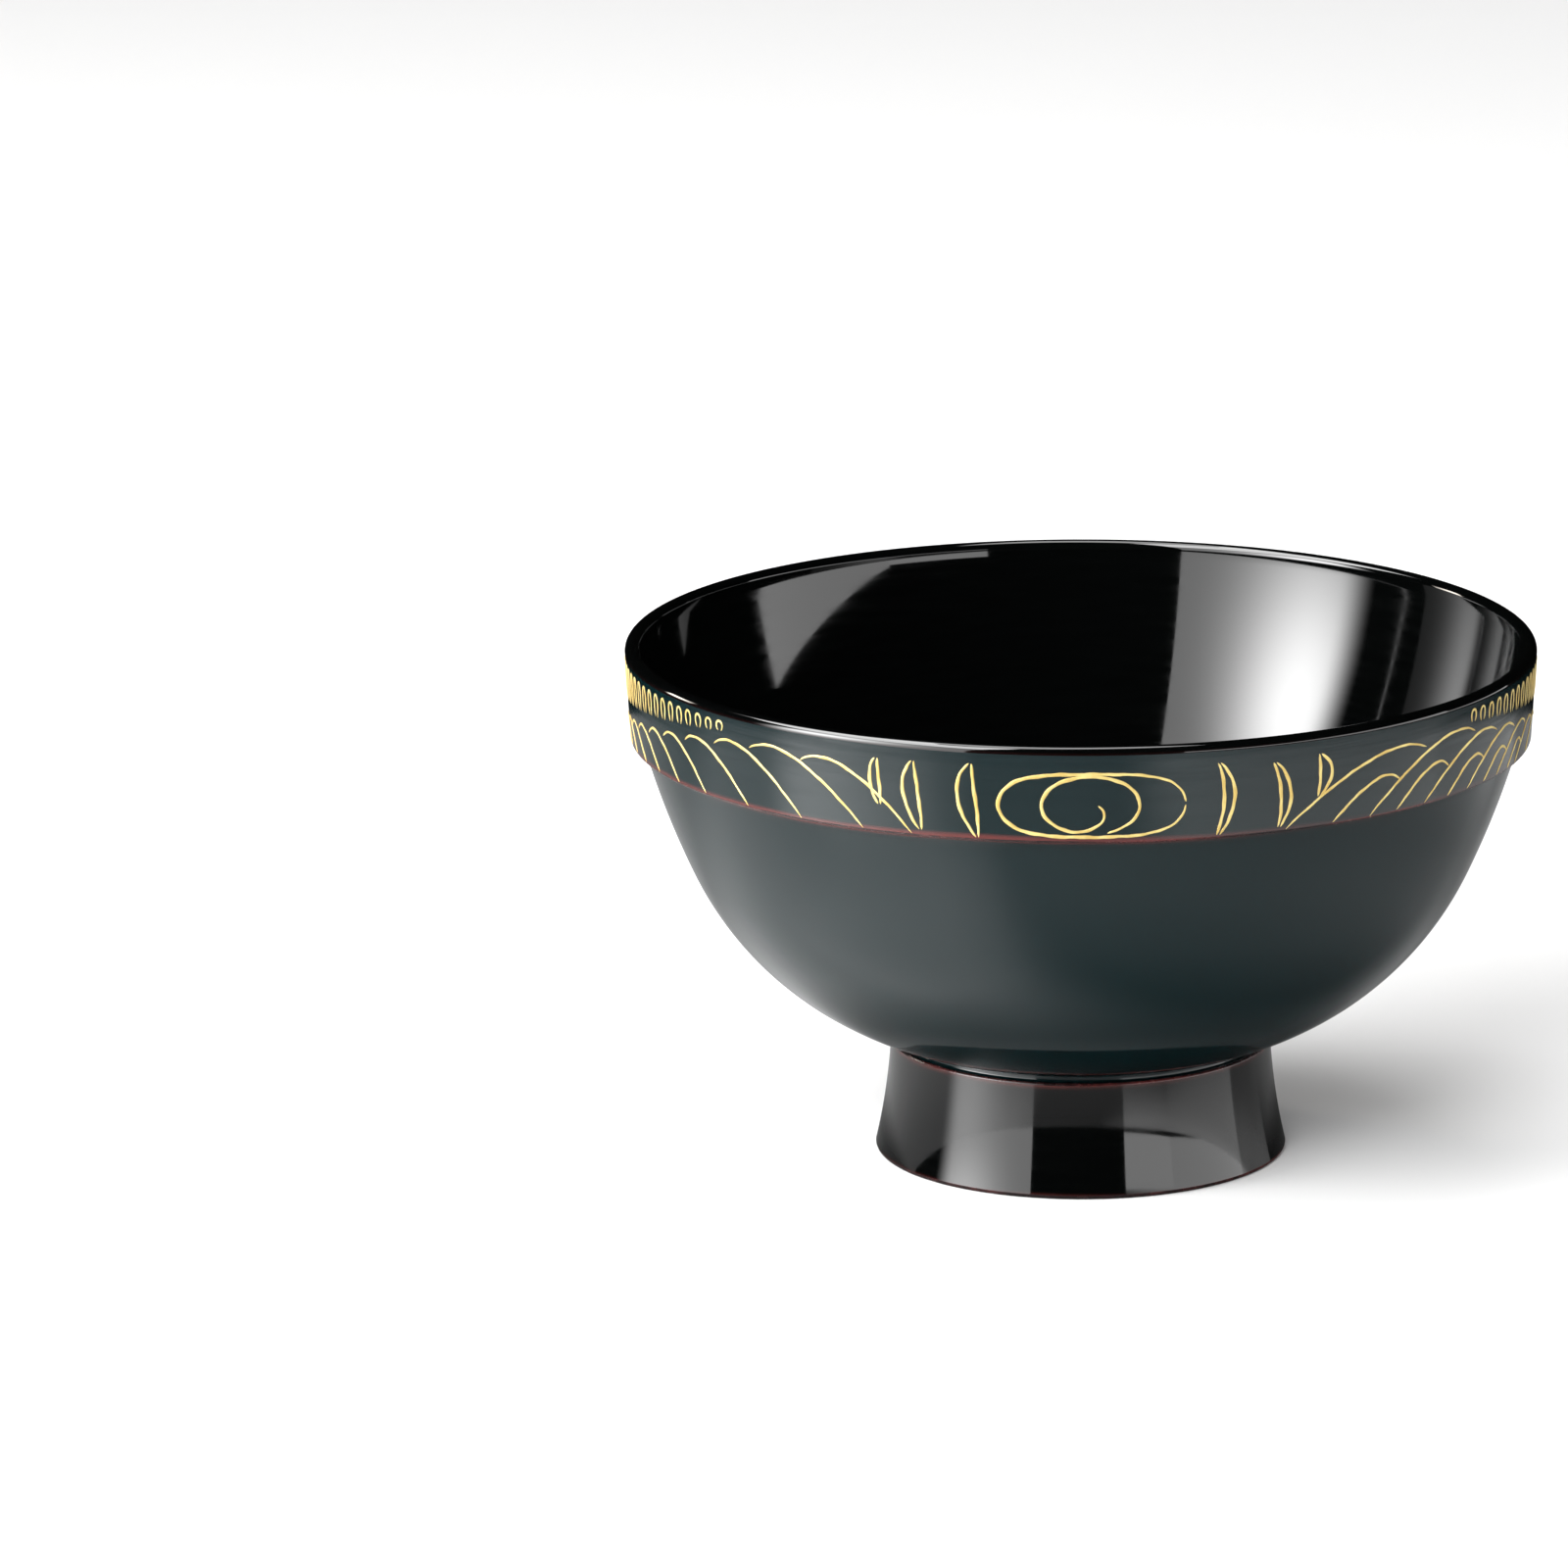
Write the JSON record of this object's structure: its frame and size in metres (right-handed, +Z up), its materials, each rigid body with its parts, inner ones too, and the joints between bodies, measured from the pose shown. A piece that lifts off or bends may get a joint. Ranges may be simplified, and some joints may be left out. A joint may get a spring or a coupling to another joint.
{
  "type": "footed lacquer soup bowl",
  "caption": "Round soup bowl on a flared foot ring, black lacquer on turned wood, with a raised rim band decorated in gold line work.",
  "frame": {"origin": "centre of the plane that the foot stands on", "axes": "+Z up along the bowl's axis of turning, -Y towards the front medallion, +X to the right of it"},
  "size_m": [0.12, 0.12, 0.069],
  "materials": {
    "turned_wood": "turned, unfinished, hidden under cloth and lacquer",
    "hemp_cloth": "plain-weave hemp stiffened with lacquer, hidden under the coats",
    "gloss_black_lacquer": "high gloss, polished lacquer",
    "ground": "hard lacquer ground, worn satin",
    "undercoat": "red-brown undercoat showing through rubbed edges",
    "gold": "gold powder sprinkled on raised lacquer lines"
  },
  "bodies": {
    "root": {"bowl_core": "turned_wood", "foot_ring": "turned_wood", "rim_cloth": "hemp_cloth", "well_cloth": "hemp_cloth", "foot_cloth": "hemp_cloth", "inside_lacquer": "gloss_black_lacquer", "band_lacquer": "gloss_black_lacquer", "body_lacquer": "gloss_black_lacquer", "foot_lacquer": "gloss_black_lacquer", "recess_lacquer": "gloss_black_lacquer", "standing_edge": "ground", "lip_edge_line": "undercoat", "band_edge_line": "undercoat", "foot_top_edge_line": "undercoat", "foot_base_edge_line": "undercoat", "gold_medallions": "gold", "gold_spirals": "gold", "gold_crescents": "gold", "gold_left_feathers": "gold", "gold_right_long_feathers": "gold", "gold_right_short_feathers": "gold", "gold_plumes": "gold"}
  },
  "joints": []
}
